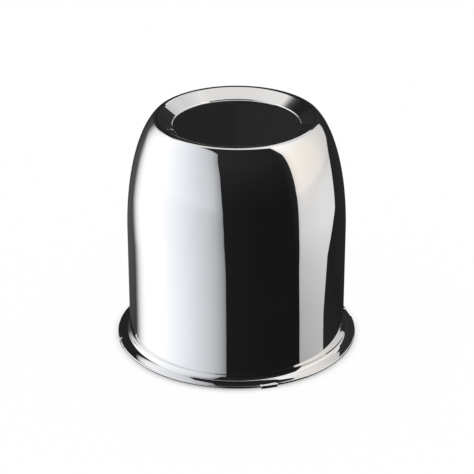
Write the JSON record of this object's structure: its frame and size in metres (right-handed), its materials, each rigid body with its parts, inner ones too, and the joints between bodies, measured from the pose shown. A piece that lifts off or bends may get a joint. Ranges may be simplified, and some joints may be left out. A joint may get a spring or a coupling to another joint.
{
  "type": "wheel center cap",
  "caption": "Push-through wheel center cap: a closed drawn cup with a straight wall, curved shoulder, dished end and a turned-out flange with pressed-down tabs.",
  "frame": {"origin": "on the cap's axis, in the plane that it stands on under the tips of its tabs", "axes": "+Z along the cap's axis, from the open end to the closed end; the tabs lie on +X, +Y, -X and -Y"},
  "size_m": [0.1194, 0.1194, 0.1172],
  "materials": {
    "chrome_plate": "bright mirror plating outside, duller inside"
  },
  "bodies": {
    "root": {"center_cap": "chrome_plate"}
  },
  "joints": []
}
